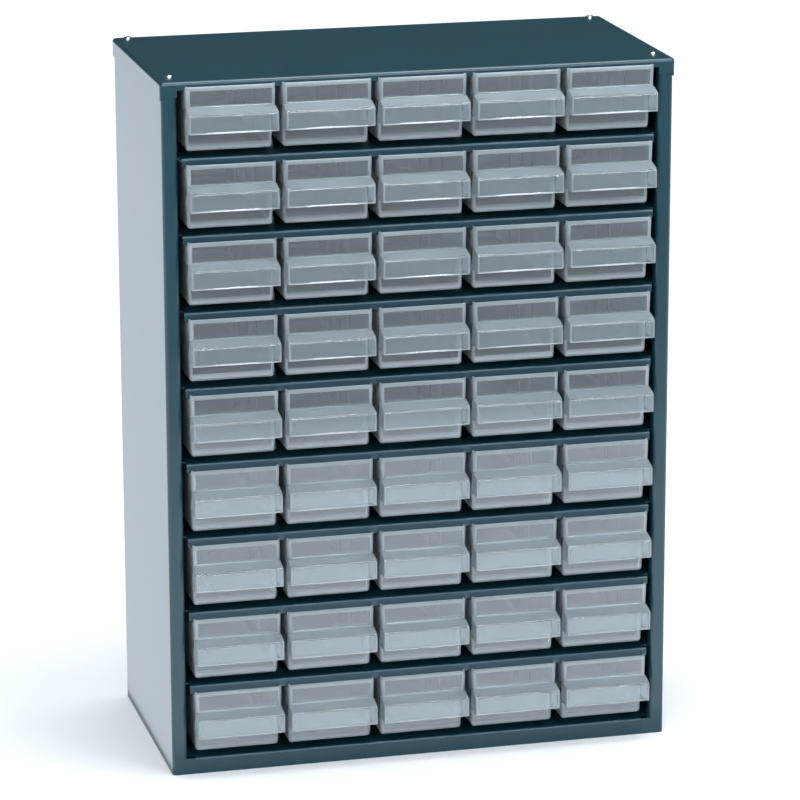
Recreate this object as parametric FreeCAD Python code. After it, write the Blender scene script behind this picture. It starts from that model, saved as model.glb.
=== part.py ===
"""Steel cabinet with forty-five small clear drawers on eight fixed shelves.

Frame: X to the right, Y to the back, Z up, millimetres.  The origin is the middle of the footprint,
counted from the drawers' handles to the cabinet's back, on the surface that the cabinet stands on.
"""

import FreeCAD, Part
import math
import os

# Cabinet
WIDTH = 306.0
DEPTH = 150.0
HEIGHT = 417.0
SHEET = 0.8
CAP_SIDE_LIP = 10.6
CAP_CORNER_LIP = 9.0
CAP_FRONT_LIP = 5.0
CAP_BEND = 2.2
POST_WIDTH = 9.0
POST_HEM = 6.0
POST_BEND = 2.4
TOE_REACH = 5.2
TOE_HEIGHT = 9.8
FOOT_WIDTH = 14.0
REAR_FLANGE = 10.0

# Shelves and the ribs that keep the drawers in their lanes
ROWS = 9
COLUMNS = 5
ROW_PITCH = 45.3
LANE_PITCH = 56.4
FLOOR_HEIGHT = 9.8
RIB_WIDTH = 3.0
RIB_HEIGHT = 3.8
RIB_START = 20.0
LIP_HEIGHT = 4.7
LIP_HALF_WIDTH = 140.8
FLOOR_LIP_HALF_WIDTH = 137.9
LIP_BEND = 1.2
FOLD_DEPTH = 6.0
SHELF_SIDE_FLANGE = 8.0
SHELF_NOTCH = 7.0
SHELF_NOTCH_GAP = 0.1
CORNER_RELIEF = 0.4

# Drawer, with heights counted from the shelf that it slides on and depths from the cabinet's front
DRAWER_WIDTH = 52.2
FOOT_DRAFT = 1.1
WALL = 1.3
SKID_GAP = 0.2
SKID_WIDTH = 2.0
SKID_AT = 17.0
SKID_START = 26.0
DRAWER_UNDERSIDE = 3.8
WALL_TOP = 39.3
FRONT_TOP = 42.1
HANDLE_ROOT = 29.8
LOWER_FRONT = 1.2
UPPER_FRONT = -5.0
HANDLE_FRONT = -13.4
HANDLE_TOP = 27.3
HANDLE_BOTTOM = 16.1
HANDLE_OVERLAP = 0.1
CHEEK_CORNER = 2.0
DRAWER_REAR = 126.5
CORNER_CUT = 2.0
INNER_CUT = 1.2
FRONT_OF_LIP = -1.2
WINDOW_RECESS = 0.5
WINDOW_SIDE_RIM = 2.5
WINDOW_TOP_RIM = 2.6
WINDOW_BOTTOM_RIM = 0.8
STOP_TOP = 43.5
STOP_WIDTH = 18.0
SLOT_DEPTHS = (50.0, 75.0, 100.0)
SLOT_WIDTH = 1.4
SLOT_RIB = 3.3
SLOT_RIB_HEIGHT = 0.4
SLOT_RIB_ROOT = 1.2

# Stacking studs, the holes that take them, and the holes for wall screws
STUD_RADIUS = 2.35
STUD_HEIGHT = 1.0
STUD_EDGE = 0.25
STUD_AT_X = 144.5
STUD_FRONT = 16.0
STUD_BACK = 144.0
STACK_HOLE_RADIUS = 2.7
WALL_HOLE_RADIUS = 2.5
WALL_HOLE_X = 100.0
WALL_HOLE_LOW = 30.0
WALL_HOLE_HIGH = 390.0

# Places that follow from the sizes above
FRONT = -(DEPTH + HANDLE_FRONT) / 2
BACK = FRONT + DEPTH
HALF_WIDTH = WIDTH / 2
SIDE_OUTER = HALF_WIDTH - SHEET
SIDE_INNER = SIDE_OUTER - SHEET
SIDE_REAR = BACK - SHEET
POST_INNER = SIDE_OUTER - POST_WIDTH
PANEL_TOP = HEIGHT - CAP_BEND
PANEL_BEND_INSIDE = POST_BEND - SHEET
SHELF_REAR = SIDE_REAR - 2 * SHEET


def box(x0, x1, y0, y1, z0, z1):
    """A block between two corners."""
    return Part.makeBox(x1 - x0, y1 - y0, z1 - z0, FreeCAD.Vector(x0, y0, z0))


def prism(corners, along):
    """The closed polygon through the corners, carried along a vector."""
    return Part.Face(Part.makePolygon(corners + corners[:1])).extrude(along)


def bent_line(points, radius):
    """A wire through the points, with an arc of the radius at every corner."""
    edges = []
    start = points[0]
    for before, corner, after in zip(points, points[1:], points[2:]):
        back = (before - corner).normalize()
        onward = (after - corner).normalize()
        half = back.getAngle(onward) / 2
        cut = radius / math.tan(half)
        reach = radius / math.sin(half) - radius
        entry = corner + back * cut
        middle = corner + (back + onward).normalize() * reach
        leave = corner + onward * cut
        edges.append(Part.makeLine(start, entry))
        edges.append(Part.Arc(entry, middle, leave).toShape())
        start = leave
    edges.append(Part.makeLine(start, points[-1]))
    return Part.Wire(edges)


def thickened(wire):
    """A folded sheet's section: the wire given its thickness on the inner side of its folds."""
    sections = [wire.makeOffset2D(side * SHEET, 0, True, True, False) for side in (-1, 1)]
    return min(sections, key=lambda section: section.Area)


def joined(pieces):
    """One solid from pieces that overlap or share faces."""
    return pieces[0].fuse(pieces[1:]).removeSplitter()


def rounded_block(x, y0, y1, z0, z1, radius):
    """A block centred on X with its top edges and its upright edges rounded."""
    block = box(-x, x, y0, y1, z0, z1)
    edges = [e for e in block.Edges if e.BoundBox.ZMax > z0 + radius]
    return block.makeFillet(radius, edges)


def top_panel():
    """A cap over the sides: a plate with a lip all round, lower at its sides and corners."""
    low = HEIGHT - CAP_SIDE_LIP
    outside = rounded_block(HALF_WIDTH, FRONT - SHEET, BACK, low, HEIGHT, CAP_BEND)
    inside = rounded_block(SIDE_OUTER, FRONT, SIDE_REAR, low - SHEET, HEIGHT - SHEET, CAP_BEND - SHEET)
    cap = outside.cut(inside)
    for y0, y1 in ((FRONT - SHEET, FRONT), (SIDE_REAR, BACK)):
        middle = box(-POST_INNER, POST_INNER, y0, y1, low, HEIGHT - CAP_FRONT_LIP)
        corners = box(-SIDE_OUTER, SIDE_OUTER, y0, y1, low, HEIGHT - CAP_CORNER_LIP)
        cap = cap.cut([middle, corners])
    return cap


def side_sheet():
    """The left side with its front post and rear flange, folded from one sheet."""
    points = [
        FreeCAD.Vector(-POST_INNER, FRONT + POST_HEM, 0),
        FreeCAD.Vector(-POST_INNER, FRONT, 0),
        FreeCAD.Vector(-SIDE_OUTER, FRONT, 0),
        FreeCAD.Vector(-SIDE_OUTER, SIDE_REAR, 0),
        FreeCAD.Vector(REAR_FLANGE - SIDE_OUTER, SIDE_REAR, 0),
    ]
    wire = bent_line(points, POST_BEND)
    return thickened(wire).extrude(FreeCAD.Vector(0, 0, PANEL_TOP))


def left_side_panel():
    """The folded side, its toe at the front and the foot that it stands on."""
    toe = box(-POST_INNER - POST_BEND, TOE_REACH - POST_INNER, FRONT, FRONT + SHEET, 0, TOE_HEIGHT)
    foot = box(-SIDE_INNER, FOOT_WIDTH - SIDE_INNER, FRONT + SHEET, SIDE_REAR - SHEET, 0, SHEET)
    hem = box(-POST_INNER - SHEET, -POST_INNER, FRONT + SHEET, FRONT + POST_HEM, 0, SHEET)
    panel = joined([side_sheet(), toe, foot.cut(hem)])
    holes = [
        Part.makeCylinder(STACK_HOLE_RADIUS, 3 * SHEET, FreeCAD.Vector(-STUD_AT_X, FRONT + y, -SHEET))
        for y in (STUD_FRONT, STUD_BACK)
    ]
    return panel.cut(holes)


def back_panel():
    """A flat sheet against the side panels' rear flanges, with four holes for wall screws."""
    half = SIDE_INNER - PANEL_BEND_INSIDE
    sheet = box(-half, half, SHELF_REAR, SHELF_REAR + SHEET, SHEET, PANEL_TOP)
    holes = [
        Part.makeCylinder(
            WALL_HOLE_RADIUS, 4 * SHEET, FreeCAD.Vector(x, SIDE_REAR - 3 * SHEET, z), FreeCAD.Vector(0, 1, 0)
        )
        for x in (-WALL_HOLE_X, WALL_HOLE_X)
        for z in (WALL_HOLE_LOW, WALL_HOLE_HIGH)
    ]
    return sheet.cut(holes)


def plate_section(y, top, flange, gaps):
    """A level sheet's section at one depth: its sides turned down, and a rib pressed up in each named gap."""
    outline = [(-SIDE_INNER, top - flange), (-SIDE_INNER, top)]
    underside = [(SHEET - SIDE_INNER, top - flange), (SHEET - SIDE_INNER, top - SHEET)]
    for gap in gaps:
        x = (gap - COLUMNS / 2) * LANE_PITCH
        half = RIB_WIDTH / 2
        inner = half - SHEET
        crown = top + RIB_HEIGHT
        outline += [(x - half, top), (x - half, crown), (x + half, crown), (x + half, top)]
        underside += [(x - inner, top - SHEET), (x - inner, crown - SHEET)]
        underside += [(x + inner, crown - SHEET), (x + inner, top - SHEET)]
    outline += [(SIDE_INNER, top), (SIDE_INNER, top - flange)]
    underside += [(SIDE_INNER - SHEET, top - SHEET), (SIDE_INNER - SHEET, top - flange)]
    return [FreeCAD.Vector(x, y, z) for x, z in outline + underside[::-1]]


def ribbed_plate(top, flange):
    """A level sheet, plain in front; behind, a rib between the lanes, closed at its front end."""
    front = FRONT + FOLD_DEPTH
    start = FRONT + RIB_START
    rear = SIDE_REAR - POST_BEND
    gaps = range(COLUMNS + 1)
    pieces = [
        prism(plate_section(front, top, flange, []), FreeCAD.Vector(0, start - front, 0)),
        prism(plate_section(start, top, flange, gaps), FreeCAD.Vector(0, rear - start, 0)),
    ]
    for gap in gaps:
        x = (gap - COLUMNS / 2) * LANE_PITCH
        half = RIB_WIDTH / 2
        pieces.append(box(x - half, x + half, start, start + SHEET, top - SHEET, top + RIB_HEIGHT))
    return joined(pieces)


def shelf(top, side_flange, front_lip, lip_half_width):
    """A ribbed plate, cut clear of the posts, with its front and rear edges turned down."""
    plate = ribbed_plate(top, side_flange)
    clear = SHELF_NOTCH_GAP
    notches = [
        box(POST_INNER - clear, SIDE_OUTER, FRONT, FRONT + SHELF_NOTCH, top - side_flange - 1, top + 1),
        box(-SIDE_OUTER, clear - POST_INNER, FRONT, FRONT + SHELF_NOTCH, top - side_flange - 1, top + 1),
    ]
    bend = [(FRONT, top - front_lip), (FRONT, top), (FRONT + FOLD_DEPTH, top)]
    line = bent_line([FreeCAD.Vector(-lip_half_width, y, z) for y, z in bend], LIP_BEND)
    lip = thickened(line).extrude(FreeCAD.Vector(2 * lip_half_width, 0, 0))
    half = SIDE_INNER - SHEET - CORNER_RELIEF
    tail = box(-half, half, SHELF_REAR - SHEET, SHELF_REAR, top - SHELF_SIDE_FLANGE, top)
    return joined([plate.cut(notches), lip, tail])


def trough_section(y, half, low, cut, top):
    """A drawer's section seen from the front: sides drafted inwards to the floor, lower corners cut off."""
    foot = half - FOOT_DRAFT
    left = [(-half, top), (-foot, low + cut), (cut - foot, low)]
    points = left + [(-x, z) for x, z in reversed(left)]
    return [FreeCAD.Vector(x, y, z) for x, z in points]


def drawer_tub():
    """Floor and side walls."""
    half = DRAWER_WIDTH / 2
    low = DRAWER_UNDERSIDE
    length = FreeCAD.Vector(0, DRAWER_REAR - LOWER_FRONT, 0)
    outside = prism(trough_section(LOWER_FRONT, half, low, CORNER_CUT, WALL_TOP), length)
    hollow = trough_section(LOWER_FRONT - 1, half - WALL, low + WALL, INNER_CUT, WALL_TOP)
    above = box(WALL - half, half - WALL, LOWER_FRONT - 1, DRAWER_REAR + 1, WALL_TOP, WALL_TOP + 1)
    return outside.cut([prism(hollow, length + FreeCAD.Vector(0, 2, 0)), above])


def drawer_front():
    """The front wall, stepping forward at a ledge, and the handle's label plate, as one section."""
    half = DRAWER_WIDTH / 2
    section = [
        (LOWER_FRONT, DRAWER_UNDERSIDE),
        (LOWER_FRONT + WALL, DRAWER_UNDERSIDE),
        (LOWER_FRONT + WALL, HANDLE_ROOT),
        (UPPER_FRONT + WALL, HANDLE_ROOT),
        (UPPER_FRONT + WALL, FRONT_TOP),
        (UPPER_FRONT, FRONT_TOP),
        (UPPER_FRONT, HANDLE_ROOT),
        (HANDLE_FRONT, HANDLE_TOP),
        (HANDLE_FRONT, HANDLE_BOTTOM),
        (HANDLE_FRONT + WALL, HANDLE_BOTTOM),
        (HANDLE_FRONT + WALL, HANDLE_TOP - WALL),
        (UPPER_FRONT + HANDLE_OVERLAP, HANDLE_ROOT - WALL),
        (LOWER_FRONT, HANDLE_ROOT - WALL),
    ]
    corners = [FreeCAD.Vector(-half, y, z) for y, z in section]
    front = prism(corners, FreeCAD.Vector(DRAWER_WIDTH, 0, 0))
    foot = trough_section(HANDLE_FRONT - 1, half, DRAWER_UNDERSIDE, CORNER_CUT, WALL_TOP)
    limit = prism(foot, FreeCAD.Vector(0, DEPTH, 0))
    upper = box(-half, half, HANDLE_FRONT - 1, DEPTH, HANDLE_ROOT - WALL, FRONT_TOP)
    window = box(
        WINDOW_SIDE_RIM - half,
        half - WINDOW_SIDE_RIM,
        UPPER_FRONT - 1,
        UPPER_FRONT + WINDOW_RECESS,
        HANDLE_ROOT + WINDOW_BOTTOM_RIM,
        FRONT_TOP - WINDOW_TOP_RIM,
    )
    return front.common(limit.fuse(upper)).cut(window)


def drawer_cheek(x):
    """An end wall of the finger pull, and above it the side wall's step up to the front's top."""
    root = LOWER_FRONT + WALL
    section = [
        (root, HANDLE_BOTTOM),
        (root, WALL_TOP),
        (FRONT_OF_LIP, WALL_TOP),
        (FRONT_OF_LIP, FRONT_TOP),
        (UPPER_FRONT, FRONT_TOP),
        (UPPER_FRONT, HANDLE_ROOT),
        (HANDLE_FRONT + CHEEK_CORNER, HANDLE_TOP),
        (HANDLE_FRONT, HANDLE_TOP - CHEEK_CORNER),
        (HANDLE_FRONT, HANDLE_BOTTOM),
    ]
    corners = [FreeCAD.Vector(x, y, z) for y, z in section]
    return prism(corners, FreeCAD.Vector(WALL, 0, 0))


def divider_ribs():
    """Pairs of low upright ribs on both side walls, each pair with a slot for a divider."""
    ribs = []
    inner = DRAWER_WIDTH / 2 - FOOT_DRAFT - WALL - SLOT_RIB_HEIGHT
    low = DRAWER_UNDERSIDE + WALL / 2
    for y in SLOT_DEPTHS:
        for start in (y - SLOT_WIDTH / 2 - SLOT_RIB, y + SLOT_WIDTH / 2):
            for x in (-inner - SLOT_RIB_HEIGHT - SLOT_RIB_ROOT, inner):
                depth = SLOT_RIB_HEIGHT + SLOT_RIB_ROOT
                ribs.append(box(x, x + depth, start, start + SLOT_RIB, low + CORNER_CUT, WALL_TOP))
    return ribs


def drawer_rear():
    """The rear wall, and the stop tab that meets the back of the shelf lip above."""
    half = DRAWER_WIDTH / 2
    y = DRAWER_REAR - WALL
    wall = prism(trough_section(y, half, DRAWER_UNDERSIDE, CORNER_CUT, WALL_TOP), FreeCAD.Vector(0, WALL, 0))
    stop = box(-STOP_WIDTH / 2, STOP_WIDTH / 2, y, DRAWER_REAR, WALL_TOP, STOP_TOP)
    return [wall, stop]


def skids():
    """Two runners under the floor."""
    half = SKID_WIDTH / 2
    return [
        box(x - half, x + half, SKID_START, DRAWER_REAR - WALL, SKID_GAP, DRAWER_UNDERSIDE)
        for x in (-SKID_AT, SKID_AT)
    ]


def drawer():
    """One clear drawer on the middle lane, with its shelf at height zero and the cabinet's front at zero."""
    half = DRAWER_WIDTH / 2
    cheeks = [drawer_cheek(-half), drawer_cheek(half - WALL)]
    return joined([drawer_tub(), drawer_front()] + drawer_rear() + cheeks + skids() + divider_ribs())


def stacking_studs():
    """Four short round studs on the top panel."""
    studs = []
    for x in (-STUD_AT_X, STUD_AT_X):
        for y in (STUD_FRONT, STUD_BACK):
            stud = Part.makeCylinder(STUD_RADIUS, STUD_HEIGHT, FreeCAD.Vector(x, FRONT + y, HEIGHT))
            rim = [e for e in stud.Edges if e.BoundBox.ZMin > HEIGHT + STUD_HEIGHT / 2]
            studs.append(stud.makeChamfer(STUD_EDGE, rim))
    return Part.makeCompound(studs)


def save(name, shape):
    """Write one node."""
    shape.exportStep(f"parts/{name}.step")


def main():
    os.makedirs("parts", exist_ok=True)
    left = left_side_panel()
    save("left_side_panel", left)
    save("right_side_panel", left.mirror(FreeCAD.Vector(0, 0, 0), FreeCAD.Vector(1, 0, 0)))
    save("top_panel", top_panel())
    save("back_panel", back_panel())
    save("bottom_panel", shelf(FLOOR_HEIGHT, FLOOR_HEIGHT - SHEET, FLOOR_HEIGHT, FLOOR_LIP_HALF_WIDTH))
    save("stacking_studs", stacking_studs())
    for row in range(1, ROWS):
        top = FLOOR_HEIGHT + row * ROW_PITCH
        save(f"shelf_{row}", shelf(top, SHELF_SIDE_FLANGE, LIP_HEIGHT, LIP_HALF_WIDTH))
    pattern = drawer()
    for row in range(ROWS):
        for column in range(COLUMNS):
            x = (column - (COLUMNS - 1) / 2) * LANE_PITCH
            place = FreeCAD.Vector(x, FRONT, FLOOR_HEIGHT + row * ROW_PITCH)
            save(f"drawer_r{row + 1}c{column + 1}", pattern.translated(place))


main()
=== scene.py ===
# %% [markdown]
# # A steel cabinet with forty-five clear drawers
#
# This lesson builds the looks of a wall or bench cabinet for small parts: a folded steel shell,
# eight shelves, and five clear drawers on every level. The shell's sheets come from the CAD frame
# as they are, and get a powder-coat finish. The drawers are made again here as surfaces, because
# clear plastic shows every thickness, corner and edge that it has.

# %% Load the frame
import math

import bpy
import numpy as np
from mathutils import Matrix, Vector


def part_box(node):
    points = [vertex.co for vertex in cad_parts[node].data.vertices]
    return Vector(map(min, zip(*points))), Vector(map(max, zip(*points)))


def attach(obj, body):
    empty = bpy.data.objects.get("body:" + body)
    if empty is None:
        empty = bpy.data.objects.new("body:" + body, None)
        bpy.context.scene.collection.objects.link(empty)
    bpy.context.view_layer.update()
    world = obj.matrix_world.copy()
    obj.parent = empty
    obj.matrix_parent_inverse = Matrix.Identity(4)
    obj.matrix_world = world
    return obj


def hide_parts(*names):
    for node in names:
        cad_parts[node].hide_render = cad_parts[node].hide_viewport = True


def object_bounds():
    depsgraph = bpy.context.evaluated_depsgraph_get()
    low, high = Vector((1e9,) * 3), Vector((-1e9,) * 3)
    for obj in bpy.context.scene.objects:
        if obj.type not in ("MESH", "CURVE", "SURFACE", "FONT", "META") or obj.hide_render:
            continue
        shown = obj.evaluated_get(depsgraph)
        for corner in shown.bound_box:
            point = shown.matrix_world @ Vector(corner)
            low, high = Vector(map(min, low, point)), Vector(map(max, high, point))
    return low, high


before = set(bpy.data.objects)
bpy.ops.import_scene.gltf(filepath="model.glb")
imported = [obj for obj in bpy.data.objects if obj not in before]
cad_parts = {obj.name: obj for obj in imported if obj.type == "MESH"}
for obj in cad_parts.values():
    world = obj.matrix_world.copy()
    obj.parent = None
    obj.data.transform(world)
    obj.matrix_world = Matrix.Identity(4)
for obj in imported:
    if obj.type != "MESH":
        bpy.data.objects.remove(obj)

cad_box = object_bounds()
MM = 0.001
print("CAD box, metres:", [tuple(round(v, 4) for v in corner) for corner in cad_box])

# %% [markdown]
# ## Colours and nodes
#
# Paint and plastic colours are easiest to read as sRGB hex, but shaders work with linear light.
# One function does that conversion, and one small function adds a node with its settings and
# links, so that every finish below reads as a list of what feeds what.

# %% One colour function and one node function
def linear(code):
    """An sRGB hex colour as linear light with full alpha."""
    parts = [int(code[i:i + 2], 16) / 255 for i in (1, 3, 5)]
    return tuple(p / 12.92 if p <= 0.04045 else ((p + 0.055) / 1.055) ** 2.4 for p in parts) + (1.0,)


def add(tree, kind, settings=None, inputs=None, links=None):
    """A node of one kind: its settings, its sockets' values, and the sockets that feed it."""
    made = tree.nodes.new(kind)
    for name, value in (settings or {}).items():
        setattr(made, name, value)
    for name, value in (inputs or {}).items():
        made.inputs[name].default_value = value
    for name, source in (links or {}).items():
        tree.links.new(source, made.inputs[name])
    return made


def finish_named(name):
    """An empty node material and its tree."""
    made = bpy.data.materials.new(name)
    made.use_nodes = True
    made.node_tree.nodes.clear()
    return made, made.node_tree


print("teal in linear light:", [round(v, 3) for v in linear("#26505E")])

# %% [markdown]
# ## Powder-coated steel
#
# The shell is folded from thin steel sheet and then powder coated. Powder melts into a skin with a
# fine pebbled grain, called orange peel, about a millimetre across, so highlights on it are soft at
# the rim and a little broken. An image of paint would stretch on the folds. Noise on Object
# coordinates runs evenly over every sheet instead, and its scale comes from the grain's real size.

# %% The paint
PEEL_SIZE = 1.3 * MM
PEEL_DEPTH = 0.035 * MM
BLOTCH_SIZE = 60 * MM


def powder_coat(name, code, light_code):
    """Blue-green powder coat: a fine pebbled skin over steel, with a very faint drift in its colour."""
    made, tree = finish_named(name)
    place = add(tree, "ShaderNodeTexCoord").outputs["Object"]
    peel = add(tree, "ShaderNodeTexNoise", links={"Vector": place},
               inputs={"Scale": 1 / PEEL_SIZE, "Detail": 2.0, "Roughness": 0.55})
    drift = add(tree, "ShaderNodeTexNoise", inputs={"Scale": 1 / BLOTCH_SIZE, "Detail": 2.0},
                links={"Vector": place})
    tone = add(tree, "ShaderNodeMix", {"data_type": "RGBA"}, links={"Factor": drift.outputs["Fac"]})
    tone.inputs["A"].default_value = linear(code)
    tone.inputs["B"].default_value = linear(light_code)
    gloss = add(tree, "ShaderNodeMapRange", inputs={"To Min": 0.27, "To Max": 0.33},
                links={"Value": peel.outputs["Fac"]})
    bump = add(tree, "ShaderNodeBump", inputs={"Strength": 0.3, "Distance": PEEL_DEPTH},
               links={"Height": peel.outputs["Fac"]})
    skin = add(tree, "ShaderNodeBsdfPrincipled", inputs={"IOR": 1.5},
               links={"Base Color": tone.outputs["Result"], "Roughness": gloss.outputs["Result"],
                      "Normal": bump.outputs["Normal"]})
    add(tree, "ShaderNodeOutputMaterial", links={"Surface": skin.outputs["BSDF"]})
    return made


paint = powder_coat("powder_coated_steel", "#0E3540", "#123C48")
print("paint:", paint.name, "grain", PEEL_SIZE / MM, "mm")

# %% [markdown]
# ## Bright plated studs
#
# Four short studs stand on the top so that a second cabinet can't slide off the first. They are
# zinc-plated steel, turned on a lathe, so they stay bright beside the paint. Noise as fine as the
# lathe tool's marks makes their gloss uneven.

# %% The plating
TURNING_PITCH = 0.25 * MM


def zinc_plate(name):
    """Zinc plating on turned steel: pale, bright and slightly cool, uneven from the lathe tool."""
    made, tree = finish_named(name)
    place = add(tree, "ShaderNodeTexCoord").outputs["Object"]
    ring = add(tree, "ShaderNodeTexNoise", inputs={"Scale": 1 / TURNING_PITCH, "Detail": 1.0},
               links={"Vector": place})
    gloss = add(tree, "ShaderNodeMapRange", inputs={"To Min": 0.18, "To Max": 0.34},
                links={"Value": ring.outputs["Fac"]})
    skin = add(tree, "ShaderNodeBsdfPrincipled", links={"Roughness": gloss.outputs["Result"]},
               inputs={"Metallic": 1.0, "Base Color": linear("#E6E9EA")})
    add(tree, "ShaderNodeOutputMaterial", links={"Surface": skin.outputs["BSDF"]})
    return made


plating = zinc_plate("zinc_plated_studs")
print("plating:", plating.name, "tool marks", TURNING_PITCH / MM, "mm")

# %% [markdown]
# ## Clear moulded polystyrene
#
# The drawers are injection moulded in clear polystyrene. Fresh from the mould it is as glossy as
# glass, with a higher IOR of 1.59, but it is never quite clear: the polymer and years of handling
# give it a milky haze, and edges look brighter than flats because the eye looks along more of it.
#
# Full refraction through five walls of forty-five drawers would be slow and noisy, and it would
# shut the light out of the drawers. Thin moulded walls hardly bend what is behind them, so each
# skin is built from three shares instead: a mirror that follows Fresnel, a haze that scatters
# light to both sides and grows at grazing angles, and for the rest a clear hole.
#
# Haze in a real wall mostly sends light onwards, so little is lost on the way into a drawer. The
# eye sees all of the haze, and every other ray meets only a part of it. An attribute written with
# the drawer's mesh raises the haze where plastic is thick or seen end on, and along the front of
# the outer side walls, where the extra haze is a painted glow standing in for light that the
# plastic carries in from the front.

# %% The clear plastic
FLOW_SIZE = 14 * MM
FLOW_DEPTH = 0.04 * MM
HAZE_FACING = 0.15
HAZE_SOLID = 0.5
HAZE_EDGE = 0.95
HAZE_LOSS = 0.2
HAZE_FALLOFF = 0.35
HAZE_ONWARD = 0.55
POLYSTYRENE_IOR = 1.59


def clear_polystyrene(name):
    """Clear polystyrene: glossy, slightly milky, brighter at its edges, with faint long flow marks."""
    made, tree = finish_named(name)
    place = add(tree, "ShaderNodeTexCoord").outputs["Object"]
    along = add(tree, "ShaderNodeMapping", inputs={"Scale": (1.0, 0.35, 1.0)}, links={"Vector": place})
    flow = add(tree, "ShaderNodeTexNoise", inputs={"Scale": 1 / FLOW_SIZE, "Detail": 3.0},
               links={"Vector": along.outputs["Vector"]})
    bump = add(tree, "ShaderNodeBump", inputs={"Strength": 0.25, "Distance": FLOW_DEPTH},
               links={"Height": flow.outputs["Fac"]}).outputs["Normal"]
    tone = add(tree, "ShaderNodeMix", {"data_type": "RGBA"}, links={"Factor": flow.outputs["Fac"]})
    tone.inputs["A"].default_value = linear("#D4E1E8")
    tone.inputs["B"].default_value = linear("#E1EBF0")
    milk = tone.outputs["Result"]
    front = add(tree, "ShaderNodeBsdfDiffuse", links={"Color": milk, "Normal": bump})
    through = add(tree, "ShaderNodeBsdfTranslucent", links={"Color": milk, "Normal": bump})
    scatter = add(tree, "ShaderNodeMixShader", inputs={"Fac": HAZE_ONWARD})
    tree.links.new(front.outputs["BSDF"], scatter.inputs[1])
    tree.links.new(through.outputs["BSDF"], scatter.inputs[2])
    clear = add(tree, "ShaderNodeBsdfTransparent", inputs={"Color": linear("#F6FAFC")})
    edge = add(tree, "ShaderNodeLayerWeight", inputs={"Blend": HAZE_FALLOFF})
    # Haze written with the drawer's mesh: thickness, plus a painted glow on the front of the side walls
    solid = add(tree, "ShaderNodeAttribute", {"attribute_name": "solidity_and_painted_glow"})
    straight = add(tree, "ShaderNodeMapRange", inputs={"To Min": HAZE_FACING, "To Max": HAZE_SOLID},
                   links={"Value": solid.outputs["Fac"]})
    haze = add(tree, "ShaderNodeMapRange", inputs={"To Max": HAZE_EDGE},
               links={"Value": edge.outputs["Facing"], "To Min": straight.outputs["Result"]})
    seen = add(tree, "ShaderNodeLightPath").outputs["Is Camera Ray"]
    loss = add(tree, "ShaderNodeMapRange", inputs={"To Min": HAZE_LOSS}, links={"Value": seen})
    share = add(tree, "ShaderNodeMath", {"operation": "MULTIPLY"})
    tree.links.new(haze.outputs["Result"], share.inputs[0])
    tree.links.new(loss.outputs["Result"], share.inputs[1])
    body = add(tree, "ShaderNodeMixShader", links={"Fac": share.outputs["Value"]})
    tree.links.new(clear.outputs["BSDF"], body.inputs[1])
    tree.links.new(scatter.outputs["Shader"], body.inputs[2])
    mirror = add(tree, "ShaderNodeFresnel", inputs={"IOR": POLYSTYRENE_IOR}, links={"Normal": bump})
    gloss = add(tree, "ShaderNodeBsdfAnisotropic", inputs={"Roughness": 0.07}, links={"Normal": bump})
    skin = add(tree, "ShaderNodeMixShader", links={"Fac": mirror.outputs["Fac"]})
    tree.links.new(body.outputs["Shader"], skin.inputs[1])
    tree.links.new(gloss.outputs["BSDF"], skin.inputs[2])
    add(tree, "ShaderNodeOutputMaterial", links={"Surface": skin.outputs["Shader"]})
    return made


plastic = clear_polystyrene("clear_polystyrene")
print("plastic:", plastic.name, "haze from", HAZE_FACING, "facing the eye to", HAZE_EDGE, "edge on")

# %% [markdown]
# ## Finishes on the sheet steel
#
# Every folded sheet is already the right shape in the frame: lips, posts, ribs and flanges are
# real folds there. Modelling them twice would gain nothing, so each node keeps its mesh and only
# takes the paint, or the plating on the studs.

# %% Paint the shell
for name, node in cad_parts.items():
    if not name.startswith("drawer_"):
        coat = plating if name == "stacking_studs" else paint
        for place in range(max(1, len(node.material_slots))):
            if not node.material_slots:
                node.data.materials.append(coat)
            node.material_slots[place].material = coat
print("painted:", sum(not name.startswith("drawer_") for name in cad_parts), "nodes")

# %% [markdown]
# ## The drawer's sizes
#
# All sizes are in millimetres from three lines: the middle of the drawer's lane, the cabinet's
# front plane, and the shelf that the drawer slides on. The wall is the same everywhere, as it must
# be in a moulding, or it would sink and warp as it cools.

# %% Sizes of one drawer
HALF = 26.1
FOOT_DRAFT = 1.1
WALL = 1.3
UNDERSIDE = 3.8
SIDE_TOP = 39.3
FRONT_TOP = 42.1
TAB_TOP = 43.5
TAB_HALF = 9.0
LOWER_FRONT = 1.2
UPPER_FRONT = -5.0
FRONT_OF_LIP = -1.2
HANDLE_FRONT = -13.4
HANDLE_TOP = 27.3
HANDLE_BOTTOM = 16.1
HANDLE_ROOT = 29.8
REAR = 126.5
SKID_GAP = 0.2
SKID_START = 26.0
SKID_AT = 17.0
UPRIGHT_CORNER = 2.0
FLOOR_CORNER = 2.0
EDGE = 0.3
WINDOW_HALF = 23.6
WINDOW_LOW = 30.6
WINDOW_HIGH = 39.5
WINDOW_DEPTH = 0.5
DIVIDER_SLOTS = (50.0, 75.0, 100.0)
SLOT_WIDTH = 1.4
RIB_WIDTH = 3.3
RIB_FACE = 23.3

print("drawer:", 2 * HALF, "wide,", REAR - HANDLE_FRONT, "deep,", TAB_TOP - SKID_GAP, "high, in mm")

# %% [markdown]
# ## From arrays to a mesh
#
# A grid of points becomes a mesh when its neighbours are joined into four-sided faces. The helper
# below takes rows of points that each run round the piece, joins every row to the next, and closes
# both ends with one face, so that a solid has no holes. Edges sharper than 35 degrees stay crisp.

# %% Rows of points into closed shells
SHARP = math.radians(35)


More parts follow.
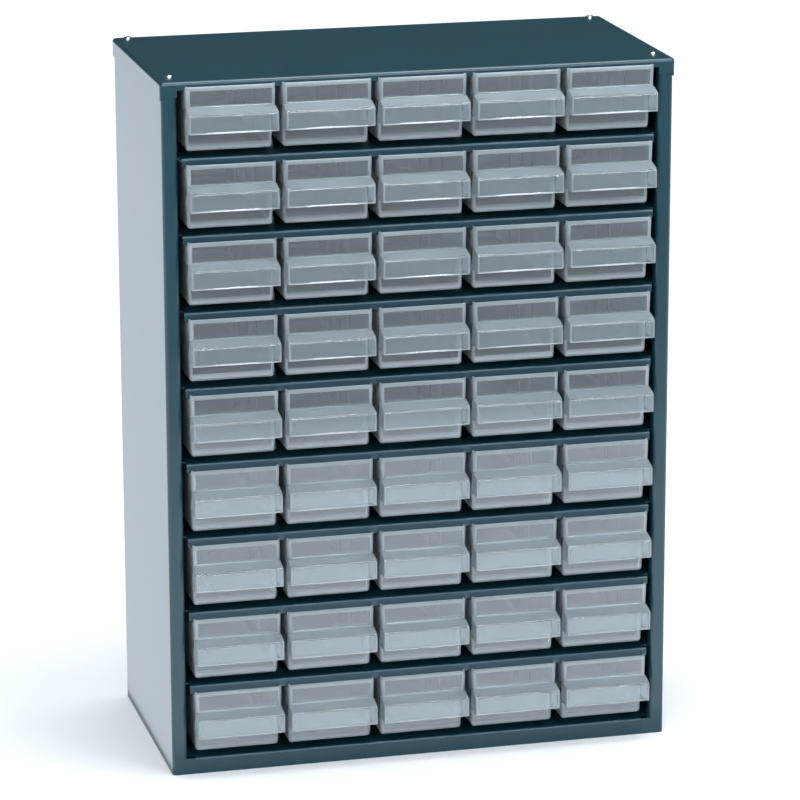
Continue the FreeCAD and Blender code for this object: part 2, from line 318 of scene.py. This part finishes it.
def shell(rows, solid=0.0):
    """A closed shell from an array of rings: neighbours in a ring and from ring to ring make
    four-sided faces, and the first and last ring are each closed by one face. Solid says how
    hazy the plastic looks at each point: mostly how thick it is, and on the front of the side
    walls a painted glow."""
    count, around = rows.shape[:2]
    index = np.arange(count * around).reshape(count, around)
    after = np.roll(index, -1, axis=1)
    sides = np.stack([index[:-1], after[:-1], after[1:], index[1:]], axis=-1).reshape(-1, 4)
    faces = sides.tolist() + [index[0][::-1].tolist(), index[-1].tolist()]
    return rows.reshape(-1, 3), faces, np.broadcast_to(solid, rows.shape[:2]).reshape(-1)


def mesh_of(name, shells):
    """One mesh from several shells, with only real edges sharp, and at every point its haze: thickness,
    and a painted glow on the side walls' front.
    """
    points, faces, solid, start = [], [], [], 0
    for part_points, part_faces, part_solid in shells:
        points.append(part_points)
        solid.append(part_solid)
        faces += [[corner + start for corner in face] for face in part_faces]
        start += len(part_points)
    mesh = bpy.data.meshes.new(name)
    mesh.from_pydata((np.concatenate(points) * MM).tolist(), [], faces)
    mesh.polygons.foreach_set("use_smooth", np.ones(len(mesh.polygons), bool))
    mesh.set_sharp_from_angle(angle=SHARP)
    solidity_and_painted_glow = mesh.attributes.new("solidity_and_painted_glow", "FLOAT", "POINT")
    solidity_and_painted_glow.data.foreach_set("value", np.concatenate(solid))
    mesh.validate()
    return mesh


# %% [markdown]
# ## The tub: floor, walls and window in one surface
#
# The drawer's body could be a stack of boxes, but then every corner would be a seam, and clear
# plastic would show it. Instead it is one surface of two parameters. The first walks round a
# rounded rectangle. The second climbs the outside from the floor to the rim and goes down the
# inside, as the mould's two halves do. The side walls lean in a little towards the floor. The
# front climbs upright, steps forward at a ledge, and holds a window above it. The rim stands
# higher at the front and in the stop tab behind, and low ribs on the side walls hold dividers.

# %% The tub as a surface of two parameters
SIDE_STATIONS = (-1.7, -1.45, FRONT_OF_LIP, 0.5, 8.0, 20.0, 35.0, 62.5, 87.5, 112.0, 123.0)
LOWER_LEVELS = (9.0, 12.0, 16.0, 22.0, 27.0)
UPPER_LEVELS = (WINDOW_LOW - EDGE, WINDOW_LOW, 34.3, WINDOW_HIGH, WINDOW_HIGH + EDGE)
FLOOR_INSET = FLOOR_CORNER + 1.5
RIB_SOLID = 0.8
# Painted glow: extra haze on the front of the outer side walls, standing in for light that the plastic
# carries in from the front
SIDE_PAINTED_GLOW = 0.8


def ease(value, low, high):
    """0 below low, 1 above high, and a smooth climb between them."""
    t = np.clip((value - low) / (high - low), 0, 1)
    return t * t * (3 - 2 * t)


def band(value, low, high, soft):
    """1 between low and high, 0 outside, with soft edges of that width."""
    return ease(value, low - soft, low) * (1 - ease(value, high, high + soft))


def stations(*spans):
    """Sorted positions that keep every edge in the spans, with none twice."""
    return np.unique(np.concatenate([np.atleast_1d(s) for s in spans]))


def ring_parameters():
    """The stations of a ring: the angles round a corner, the places across the front and across
    the rear, and the places along a side."""
    turn = np.linspace(0, math.pi / 2, 5)
    tab = (-TAB_HALF - EDGE, -TAB_HALF, TAB_HALF, TAB_HALF + EDGE)
    rim = (-WINDOW_HALF - EDGE, -WINDOW_HALF, WINDOW_HALF, WINDOW_HALF + EDGE)
    across_front = stations(rim, np.linspace(-18, 18, 7))
    across_rear = stations(tab, np.linspace(-22, 22, 9))[::-1]
    edges = []
    for slot in DIVIDER_SLOTS:
        for side in (-1, 1):
            near = slot + side * SLOT_WIDTH / 2
            far = near + side * RIB_WIDTH
            edges += [near, near - side * EDGE, far, far + side * EDGE]
    return turn, across_front, across_rear, stations(edges, SIDE_STATIONS)


def ring(half, front, rear, corner, low):
    """Rounded rectangle: straight runs with fixed stations, joined by quarter circles of the
    corner's radius."""
    turn, across_front, across_rear, along = ring_parameters()
    sin, cos = np.sin(turn) * corner, np.cos(turn) * corner
    inner = half - corner
    along = np.maximum(along, front + corner + 0.05 * np.arange(1, len(along) + 1))
    along = np.minimum(along, rear - corner - 0.1)
    parts = [
        (np.clip(across_front, -inner, inner), np.full(across_front.shape, front)),
        (inner + sin, front + corner - cos),
        (np.full(along.shape, half), along),
        (inner + cos, rear - corner + sin),
        (np.clip(across_rear, -inner, inner), np.full(across_rear.shape, rear)),
        (-inner - sin, rear - corner + cos),
        (np.full(along.shape, -half), along[::-1]),
        (-inner - cos, front + corner - sin),
    ]
    x, y = (np.concatenate(group) for group in zip(*parts))
    return np.stack([x, y, np.full(x.shape, low)], axis=1)


def climb():
    """The walk up the outside and down the inside, in steps of four: the height, the inset from
    the outline, the front's place, and 1 if inside."""
    bend = np.linspace(0, math.pi / 2, 6)
    rise, reach = 1 - np.cos(bend), 1 - np.sin(bend)
    small = FLOOR_CORNER - WALL
    under, over = HANDLE_ROOT - WALL, HANDLE_ROOT
    near, far = UPPER_FRONT, LOWER_FRONT
    steps = [(UNDERSIDE, FLOOR_INSET, far, 0)]
    steps += [(UNDERSIDE + FLOOR_CORNER * up, FLOOR_CORNER * back, far, 0)
              for up, back in zip(rise, reach)]
    steps += [(z, 0, far, 0) for z in LOWER_LEVELS]
    steps += [(under - EDGE, 0, far, 0), (under, 0, far - EDGE, 0)]
    steps += [(under, 0, near + EDGE, 0), (over, 0, near, 0)]
    steps += [(z, 0, near, 0) for z in UPPER_LEVELS + (FRONT_TOP - EDGE,)]
    steps += [(FRONT_TOP - 0.08, 0.1, near, 0), (FRONT_TOP, EDGE, near, 0)]
    steps += [(FRONT_TOP, WALL - EDGE, near, 1), (FRONT_TOP - 0.08, WALL - 0.1, near, 1)]
    steps += [(FRONT_TOP - EDGE, WALL, near, 1)]
    steps += [(z, WALL, near, 1) for z in UPPER_LEVELS[::-1]]
    steps += [(over + 0.1, WALL, near + 0.1, 1), (over, WALL, near + EDGE, 1)]
    steps += [(over, WALL, far - EDGE, 1), (over - EDGE, WALL, far, 1)]
    steps += [(z, WALL, far, 1) for z in LOWER_LEVELS[::-1]]
    steps += [(UNDERSIDE + WALL + small * up, WALL + small * back, far, 1)
              for up, back in zip(rise[::-1], reach[::-1])]
    return steps + [(UNDERSIDE + WALL, FLOOR_INSET, far, 1)]


def tub():
    """Stacks the rings of the climb, then bends them: the sides lean in towards the floor so that
    the part leaves its mould, the rim follows its own height round the drawer, the window sinks
    into the front, and the divider ribs stand out of the inner side walls. The window's frame, the
    rim, the bends and the ribs are marked as solid. The front of the side walls is marked hazier
    too, as a painted glow that stands in for light the plastic carries in from the front."""
    steps = climb()
    rows = []
    for z, inset, front, _ in steps:
        lean = FOOT_DRAFT * min(1, max(0, (SIDE_TOP - z) / (SIDE_TOP - UNDERSIDE - FLOOR_CORNER)))
        corner = max(UPRIGHT_CORNER - inset, 0.4)
        rows.append(ring(HALF - inset - lean, front + inset, REAR - inset, corner, z))
    grid = np.array(rows)
    inside = np.array([step[3] for step in steps])[:, None]
    x, y, z = grid[..., 0], grid[..., 1], grid[..., 2]
    in_front = 1 - ease(y, -1.7, FRONT_OF_LIP)
    in_tab = ease(y, REAR - 2 * WALL, REAR - 1.5 * WALL) * band(x, -TAB_HALF, TAB_HALF, EDGE)
    rim = SIDE_TOP + (FRONT_TOP - SIDE_TOP) * in_front + (TAB_TOP - SIDE_TOP) * in_tab
    stretch = (rim - WINDOW_LOW) / (FRONT_TOP - WINDOW_LOW)
    z = np.where(z > WINDOW_LOW, WINDOW_LOW + (z - WINDOW_LOW) * stretch, z)
    window = band(x, -WINDOW_HALF, WINDOW_HALF, EDGE) * band(z, WINDOW_LOW, WINDOW_HIGH, EDGE)
    face = (y < UPPER_FRONT + WALL + 0.1) * (z > HANDLE_ROOT - WALL)
    y = y + WINDOW_DEPTH * window * (1 - inside) * face
    middles = [slot + side * (SLOT_WIDTH + RIB_WIDTH) / 2 for slot in DIVIDER_SLOTS for side in (-1, 1)]
    ribs = sum(band(y, middle - RIB_WIDTH / 2, middle + RIB_WIDTH / 2, EDGE) for middle in middles)
    ribs = ribs * inside * (np.abs(x) > RIB_FACE) * (z < SIDE_TOP - 2 * EDGE)
    x = x + (np.sign(x) * RIB_FACE - x) * ribs
    low_bend = band(z, UNDERSIDE, UNDERSIDE + FLOOR_CORNER, 1.0)
    low_bend[0] = low_bend[-1] = 0
    top_edge = ease(z, rim - 1.8, rim - 1.2)
    at_corner = ease(np.abs(x), HALF - FOOT_DRAFT - 1.4, HALF - FOOT_DRAFT - 0.6)
    upright = at_corner * (ease(-y, -4, 1) + ease(y, 123, 124.5))
    # Painted glow: the outer side walls are made hazier from about 3 to 20 mm behind the front, so the
    # gaps between drawers look lit
    side = SIDE_PAINTED_GLOW * (np.abs(x) > RIB_FACE) * (1 - inside) * band(y, 3.0, 20.0, 6.0)
    solid = face * (1 - window) + low_bend + top_edge + upright + side + RIB_SOLID * ribs
    solid = np.clip(solid, 0, 1)
    return shell(np.stack([x, y, z], axis=-1), solid)


tub_shell = tub()
print("tub:", len(tub_shell[0]), "points")

# %% [markdown]
# ## The handle: a label plate on a sloping shelf
#
# The fingers go up behind a plate that stands out from the front. Its section is a bent strip, so
# it is drawn once from the side as a polygon with rounded corners, and carried across the drawer.
# The section shrinks by less than half a millimetre at both ends, which rounds the cut edges. A
# shallow field is sunk into the plate's face, with room for a label.

# %% A rounded section carried along a line
def filleted(corners, radii, steps=3):
    """Closed outline through the corners, each now an arc of its radius that touches both sides."""
    at = np.array(corners, float)
    back = np.roll(at, 1, axis=0) - at
    onward = np.roll(at, -1, axis=0) - at
    back /= np.linalg.norm(back, axis=1)[:, None]
    onward /= np.linalg.norm(onward, axis=1)[:, None]
    half = np.arccos(np.clip((back * onward).sum(1), -1, 1)) / 2
    radius = np.broadcast_to(np.array(radii, float), half.shape)
    middle = back + onward
    middle /= np.linalg.norm(middle, axis=1)[:, None]
    centre = at + middle * (radius / np.sin(half))[:, None]
    first = at + back * (radius / np.tan(half))[:, None] - centre
    last = at + onward * (radius / np.tan(half))[:, None] - centre
    start = np.arctan2(first[:, 1], first[:, 0])
    sweep = np.arctan2(last[:, 1], last[:, 0]) - start
    sweep = (sweep + math.pi) % (2 * math.pi) - math.pi
    angle = start[:, None] + sweep[:, None] * np.linspace(0, 1, steps + 1)
    spin = np.stack([np.cos(angle), np.sin(angle)], axis=-1)
    return (centre[:, None] + spin * radius[:, None, None]).reshape(-1, 2)


def finer(outline, longest):
    """The same outline with points added so that no side is longer than the given length."""
    closed = np.concatenate([outline, outline[:1]])
    run = np.concatenate([[0], np.cumsum(np.linalg.norm(np.diff(closed, axis=0), axis=1))])
    extra = np.arange(0, run[-1], longest)
    places = np.unique(np.concatenate([run[:-1], extra]).round(4))
    return np.stack([np.interp(places, run, closed[:, i]) for i in (0, 1)], axis=1)


def outward(outline):
    """Unit normals of a closed outline that runs anticlockwise: at each point, the chord between
    its neighbours, turned by a quarter."""
    chord = np.roll(outline, -1, axis=0) - np.roll(outline, 1, axis=0)
    chord /= np.linalg.norm(chord, axis=1)[:, None]
    return np.stack([chord[:, 1], -chord[:, 0]], axis=1)


def carried(outline, places, axes, edge):
    """The outline carried along a line, drawn in by edge at both ends: axes says which coordinates
    are the section's two and which is the line."""
    across, up = outline.T
    area = 0.5 * np.sum(across * np.roll(up, -1) - np.roll(across, -1) * up)
    outline = outline if area > 0 else outline[::-1]
    normal = outward(outline)
    first, last = places[0], places[-1]
    ends = [first + 0.3 * edge, first + edge, last - edge, last - 0.3 * edge]
    line = np.unique(np.concatenate([places, ends]))
    near = np.clip(np.minimum(line - first, last - line) / edge, 0, 1)
    shrink = edge * (1 - np.sqrt(1 - (1 - near) ** 2))
    section = outline[None] - normal[None] * shrink[:, None, None]
    grid = np.empty((len(line), len(outline), 3))
    grid[..., axes[0]] = section[..., 0]
    grid[..., axes[1]] = section[..., 1]
    grid[..., axes[2]] = line[:, None]
    flipped = (axes[0], axes[1], axes[2]) in ((1, 0, 2), (0, 2, 1), (2, 1, 0))
    return grid[:, ::-1] if flipped else grid


# %% The handle, its cheeks and the skids
FIELD_HALF = 25.0
FIELD_LOW = 17.0
FIELD_HIGH = 26.4
FIELD_DEPTH = 0.35
ROOT = -4.6
HANDLE_HALF = 26.0
SLOPE_SOLID = 0.2
CHEEK_SOLID = 0.6
SKID_SOLID = 0.8


def field_mark(x, z):
    """1 on the label field and 0 on the rails round it."""
    return band(x, -FIELD_HALF, FIELD_HALF, EDGE) * band(z, FIELD_LOW, FIELD_HIGH, EDGE)


def handle():
    """The bent strip of the label plate, with its field sunk between two rails."""
    corners = [
        (ROOT, HANDLE_ROOT), (HANDLE_FRONT, HANDLE_TOP), (HANDLE_FRONT, HANDLE_BOTTOM),
        (HANDLE_FRONT + WALL, HANDLE_BOTTOM), (HANDLE_FRONT + WALL, HANDLE_TOP - WALL),
        (ROOT, HANDLE_ROOT - WALL),
    ]
    outline = finer(filleted(corners, (0.1, 1.1, 0.55, 0.55, 0.4, 0.1)), 0.6)
    ends = HANDLE_HALF
    inner = np.array([-FIELD_HALF - EDGE, -FIELD_HALF, -12, 0, 12, FIELD_HALF, FIELD_HALF + EDGE])
    places = np.concatenate([[-ends], inner, [ends]])
    grid = carried(outline, places, (1, 2, 0), 0.45)
    x, y, z = grid[..., 0], grid[..., 1], grid[..., 2]
    field = field_mark(x, z)
    plate = z < HANDLE_TOP - 1
    y = y + FIELD_DEPTH * field * (y < HANDLE_FRONT + 0.2)
    solid = np.where(plate, 1 - field, SLOPE_SOLID)
    return shell(np.stack([x, y, z], axis=-1), solid)


def cheek(side):
    """An end wall of the finger pull: a thin plate whose upper front corner is well rounded."""
    corners = [
        (LOWER_FRONT + 0.6, HANDLE_BOTTOM), (LOWER_FRONT + 0.4, HANDLE_ROOT - 1.0),
        (ROOT, HANDLE_ROOT - 0.3),
        (HANDLE_FRONT + 0.05, HANDLE_TOP - 0.2), (HANDLE_FRONT + 0.05, HANDLE_BOTTOM),
    ]
    outline = filleted(corners, (0.3, 0.3, 0.3, 1.9, 0.5), 5)
    places = np.sort(side * np.array([HANDLE_HALF + 0.1, HANDLE_HALF - WALL]))
    return shell(carried(outline, places, (1, 2, 0), 0.35), CHEEK_SOLID)


def skid(x):
    """A low runner under the floor, round at its foot."""
    corners = [(x - 1, SKID_GAP), (x + 1, SKID_GAP), (x + 1, UNDERSIDE + 0.3), (x - 1, UNDERSIDE + 0.3)]
    outline = filleted(corners, (0.7, 0.7, 0.1, 0.1))
    places = np.array([SKID_START, REAR - 4])
    return shell(carried(outline, places, (0, 2, 1), 0.7), SKID_SOLID)


drawer_shells = [tub_shell, handle(), cheek(-1), cheek(1), skid(-SKID_AT), skid(SKID_AT)]
print("drawer:", sum(len(piece[0]) for piece in drawer_shells), "points")

# %% [markdown]
# ## Forty-five drawers
#
# One mould makes them all, so one mesh is computed and copied. The copy's place goes into its
# points, not into the object, and comes from the box of the CAD drawer that it stands for. Each
# drawer rides on its own body, so each one slides out alone.

# %% Put a drawer in every lane
pattern = mesh_of("drawer_pattern", drawer_shells)
drawers = []
for name in sorted(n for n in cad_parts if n.startswith("drawer_")):
    low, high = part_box(name)
    place = Vector(((low.x + high.x) / 2, low.y - HANDLE_FRONT * MM, low.z - SKID_GAP * MM))
    mesh = pattern.copy()
    mesh.name = "clear_" + name
    mesh.transform(Matrix.Translation(place))
    mesh.materials.append(plastic)
    piece = bpy.data.objects.new("clear_" + name, mesh)
    bpy.context.scene.collection.objects.link(piece)
    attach(piece, name + "_body")
    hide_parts(name)
    drawers.append(piece)
bpy.data.meshes.remove(pattern)
print("drawers:", len(drawers), "with", len(drawers[0].data.polygons), "faces each")

# %% [markdown]
# ## Floor
#
# A matte white sweep is what a catalogue shot stands on. It is large enough to reach past the
# picture's edges, and a trace of grain keeps the contact shadow from looking painted.

# %% The floor
FLOOR_REACH = 4.0
floor_mesh = bpy.data.meshes.new("floor")
corners = [(-FLOOR_REACH, -FLOOR_REACH, 0), (FLOOR_REACH, -FLOOR_REACH, 0),
           (FLOOR_REACH, FLOOR_REACH, 0), (-FLOOR_REACH, FLOOR_REACH, 0)]
floor_mesh.from_pydata(corners, [], [(0, 1, 2, 3)])
floor = bpy.data.objects.new("floor", floor_mesh)
bpy.context.scene.collection.objects.link(floor)
floor_finish, tree = finish_named("matte_white_paper")
place = add(tree, "ShaderNodeTexCoord").outputs["Object"]
grain = add(tree, "ShaderNodeTexNoise", inputs={"Scale": 900.0}, links={"Vector": place})
tone = add(tree, "ShaderNodeMapRange", inputs={"To Min": 0.9, "To Max": 0.94},
           links={"Value": grain.outputs["Fac"]})
paper = add(tree, "ShaderNodeBsdfDiffuse", links={"Color": tone.outputs["Result"]})
add(tree, "ShaderNodeOutputMaterial", links={"Surface": paper.outputs["BSDF"]})
floor_mesh.materials.append(floor_finish)
print("floor:", 2 * FLOOR_REACH, "metres square")

# %% [markdown]
# ## Reflection cards
#
# Gloss is only as good as what it mirrors. Upright fronts seen from above mirror the ground before
# them, so a card lies there: bright near the cabinet, for the lower drawers, and dim further out,
# for the upper ones. A second lies along the left side and makes it pale. A strip overhead and a
# tall window in front draw thin light lines along the folds. The cards are plain glowing sheets
# that only mirrors can see: they light nothing and the camera never sees them.

# %% Cards that only reflections see
CARD_TINT = "#EEF6FF"
CARD_HEIGHT = 0.002
FRONT_GLOW = 2.45
FAR_GLOW = 0.4
SIDE_GLOW = 2.05
OVERHEAD_GLOW = 12
WINDOW_GLOW = 8


def card(name, corners, strength, fade=None):
    """A cool glowing sheet for reflections alone. Its light fades along y if fade gives two places
    and the strength beyond the second."""
    mesh = bpy.data.meshes.new(name)
    mesh.from_pydata(corners, [], [(0, 1, 2, 3)])
    made, tree = finish_named(name)
    glow = add(tree, "ShaderNodeEmission",
               inputs={"Color": linear(CARD_TINT), "Strength": strength})
    if fade:
        place = add(tree, "ShaderNodeTexCoord").outputs["Object"]
        split = add(tree, "ShaderNodeSeparateXYZ", links={"Vector": place})
        span = {"From Min": fade[0], "From Max": fade[1], "To Min": strength, "To Max": fade[2]}
        ramp = add(tree, "ShaderNodeMapRange", inputs=span, links={"Value": split.outputs["Y"]})
        tree.links.new(ramp.outputs["Result"], glow.inputs["Strength"])
    add(tree, "ShaderNodeOutputMaterial", links={"Surface": glow.outputs["Emission"]})
    made.cycles.emission_sampling = "NONE"
    mesh.materials.append(made)
    piece = bpy.data.objects.new(name, mesh)
    bpy.context.scene.collection.objects.link(piece)
    piece.visible_camera = False
    piece.visible_diffuse = False
    piece.visible_transmission = False
    piece.visible_shadow = False
    return piece


def level(x0, x1, y0, y1, z):
    """The corners of a level rectangle."""
    return [(x0, y0, z), (x1, y0, z), (x1, y1, z), (x0, y1, z)]


front_y = cad_box[0].y
card("front_card", level(-2.5, 2.5, front_y - 2.6, front_y - 0.02, CARD_HEIGHT),
     FRONT_GLOW, (front_y - 0.66, front_y - 0.76, FAR_GLOW))
card("side_card", level(-2.6, -0.154, front_y, 2.8, CARD_HEIGHT), SIDE_GLOW)
card("overhead_card", level(-0.6, 1.2, -0.7, -0.25, 1.75), OVERHEAD_GLOW)
window_y = front_y - 1.6
card("front_window", [(-1.6, window_y, 0.65), (1.6, window_y, 0.65),
                      (1.6, window_y, 1.45), (-1.6, window_y, 1.45)], WINDOW_GLOW)
print("cards: front edge of the drawers at", round(front_y, 4), "metres")

# %% [markdown]
# ## Light
#
# A pale surround does most of the work. A softbox above and a little in front models the cap and
# the handles, and a weaker, larger one fills from the front left. The surround is white where the
# camera looks straight at it, brighter in the light that it sheds, and nearly dark in mirrors, so
# that only the cards show there and the dark paint isn't washed out.
#
# A look through a row of drawers crosses dozens of thin clear skins. Cycles stops after eight
# unless it is told otherwise, and the rest would turn black, so that limit is raised too.

# %% Lights and surround
def softbox(name, place, target, size, power):
    """A square area light aimed at a point."""
    light = bpy.data.lights.new(name, "AREA")
    light.size = size
    light.energy = power
    made = bpy.data.objects.new(name, light)
    made.location = place
    made.rotation_euler = (Vector(target) - Vector(place)).to_track_quat("-Z", "Y").to_euler()
    made.visible_camera = False
    bpy.context.scene.collection.objects.link(made)
    return made


middle = (cad_box[0] + cad_box[1]) / 2
softbox("overhead", (0.3, -0.35, 1.7), middle, 0.6, 9)
softbox("fill", (-1.2, -2.2, 1.4), middle, 1.0, 11)

world = bpy.data.worlds.new("studio")
world.use_nodes = True
tree = world.node_tree
tree.nodes.clear()
seen = add(tree, "ShaderNodeLightPath")
ground = add(tree, "ShaderNodeBackground", inputs={"Color": (1, 1, 1, 1), "Strength": 1.0})
room = add(tree, "ShaderNodeBackground", inputs={"Color": linear("#E8EEF3"), "Strength": 1.35})
dark = add(tree, "ShaderNodeBackground", inputs={"Color": linear("#E4EBF0"), "Strength": 0.1})
mirrors = add(tree, "ShaderNodeMixShader", links={"Fac": seen.outputs["Is Glossy Ray"]})
tree.links.new(room.outputs["Background"], mirrors.inputs[1])
tree.links.new(dark.outputs["Background"], mirrors.inputs[2])
both = add(tree, "ShaderNodeMixShader", links={"Fac": seen.outputs["Is Camera Ray"]})
tree.links.new(mirrors.outputs["Shader"], both.inputs[1])
tree.links.new(ground.outputs["Background"], both.inputs[2])
add(tree, "ShaderNodeOutputWorld", links={"Surface": both.outputs["Shader"]})
bpy.context.scene.world = world
bpy.context.scene.cycles.transparent_max_bounces = 32
print("lights:", [light.name for light in bpy.data.lights])

# %% [markdown]
# ## Camera
#
# The cabinet is seen from the front left and from above its top, with a long lens so that its
# uprights stay close to parallel.

# %% The camera
CAMERA_PLACE = (-0.57553, -2.28997, 0.84421)
YAW, PITCH, ROLL = 0.248, -0.2654, -0.0021
FOCAL_LENGTH = 182.19
forward = Vector((math.sin(YAW) * math.cos(PITCH), math.cos(YAW) * math.cos(PITCH), math.sin(PITCH)))
flat_right = Vector((math.cos(YAW), -math.sin(YAW), 0))
flat_up = flat_right.cross(forward)
right = flat_right * math.cos(ROLL) + flat_up * math.sin(ROLL)
up = flat_up * math.cos(ROLL) - flat_right * math.sin(ROLL)
camera_data = bpy.data.cameras.new("camera")
camera_data.lens = FOCAL_LENGTH
camera_data.sensor_width = 36.0
camera_data.clip_end = 50
camera = bpy.data.objects.new("camera", camera_data)
camera.matrix_world = Matrix((
    (right.x, up.x, -forward.x, CAMERA_PLACE[0]),
    (right.y, up.y, -forward.y, CAMERA_PLACE[1]),
    (right.z, up.z, -forward.z, CAMERA_PLACE[2]),
    (0, 0, 0, 1),
))
bpy.context.scene.collection.objects.link(camera)
bpy.context.scene.camera = camera
bpy.context.scene.view_settings.view_transform = "Standard"
print("camera:", CAMERA_PLACE, "metres, lens", FOCAL_LENGTH, "mm")
